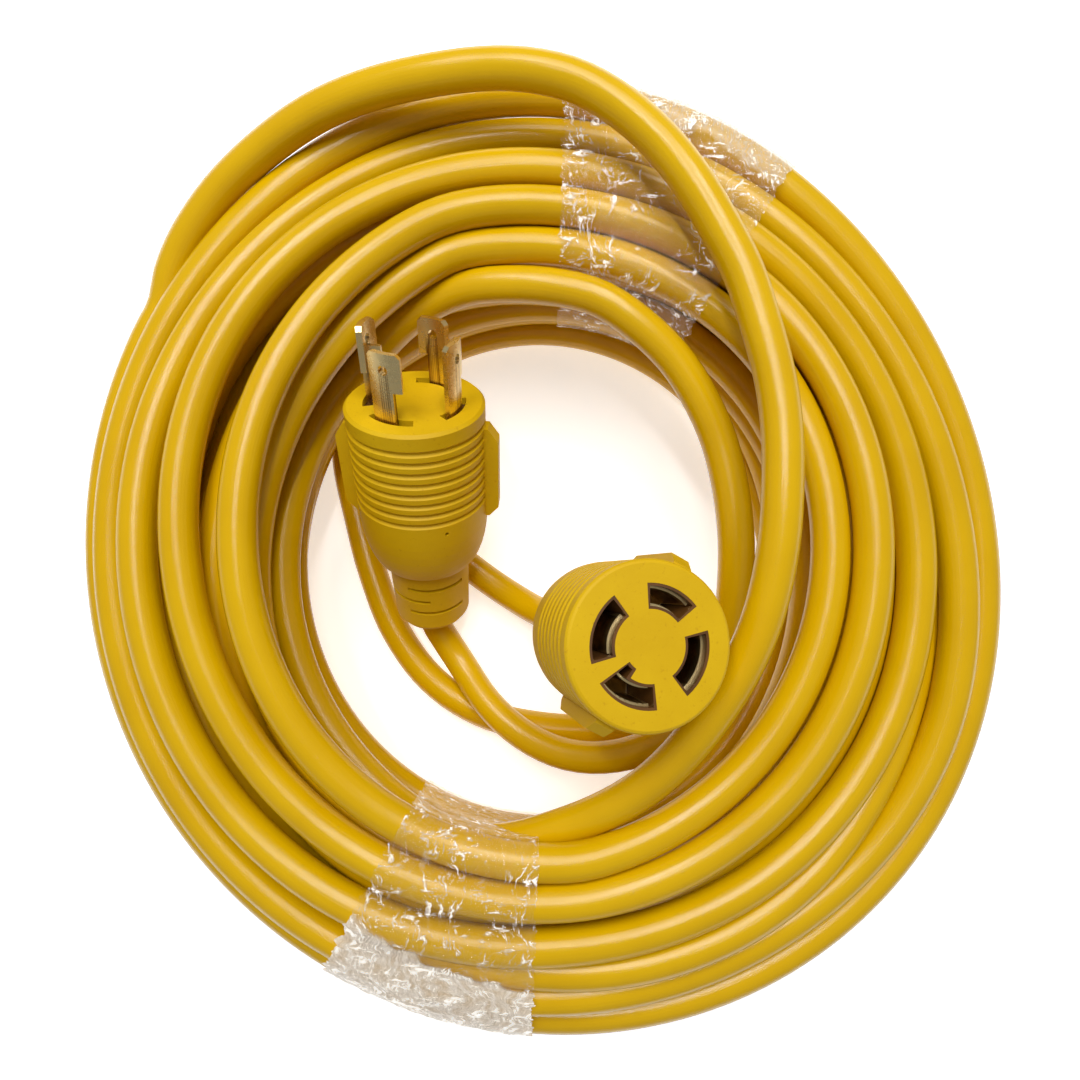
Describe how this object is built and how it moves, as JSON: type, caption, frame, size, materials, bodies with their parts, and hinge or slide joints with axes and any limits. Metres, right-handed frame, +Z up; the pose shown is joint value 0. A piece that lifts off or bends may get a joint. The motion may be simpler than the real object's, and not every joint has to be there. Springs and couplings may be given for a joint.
{
  "type": "shore power cord",
  "caption": "Coiled yellow shore power cord with a moulded four-blade locking plug and a moulded locking connector, bound by two bands of stretch film.",
  "frame": {"origin": "centre of the coil, on the surface that the coil lies on", "axes": "+Z up along the coil's axis; the plug's blades point towards +Y and up, and the connector's face looks up, leaning towards +X"},
  "size_m": [0.32, 0.3222, 0.1222],
  "materials": {
    "jacket": "satin extruded jacket",
    "moulding": "matt moulded",
    "film": "clear wrinkled film",
    "nylon": "matt",
    "blade_brass": "stamped, lightly tarnished",
    "contact_brass": "stamped",
    "copper": "bare stranded copper",
    "core_green": "extruded",
    "core_white": "extruded",
    "core_black": "extruded",
    "core_red": "extruded"
  },
  "bodies": {
    "root": {"cord_coil": "jacket", "cord_over_turn": "jacket", "cord_inner_turn": "jacket", "cord_tail_plug": "jacket", "cord_tail_connector": "jacket", "plug_jacket_end": "jacket", "connector_jacket_end": "jacket", "plug_overmould": "moulding", "connector_overmould": "moulding", "film_band_far": "film", "film_band_near": "film", "plug_blade_carrier": "nylon", "connector_contact_carrier": "nylon", "connector_carrier_back": "nylon", "blade_earth": "blade_brass", "blade_neutral": "blade_brass", "blade_line_x": "blade_brass", "blade_line_y": "blade_brass", "contact_earth": "contact_brass", "contact_neutral": "contact_brass", "contact_line_x": "contact_brass", "contact_line_y": "contact_brass", "plug_conductors": "copper", "connector_conductors": "copper", "plug_core_green": "core_green", "connector_core_green": "core_green", "plug_core_white": "core_white", "connector_core_white": "core_white", "plug_core_black": "core_black", "connector_core_black": "core_black", "plug_core_red": "core_red", "connector_core_red": "core_red"}
  },
  "joints": []
}
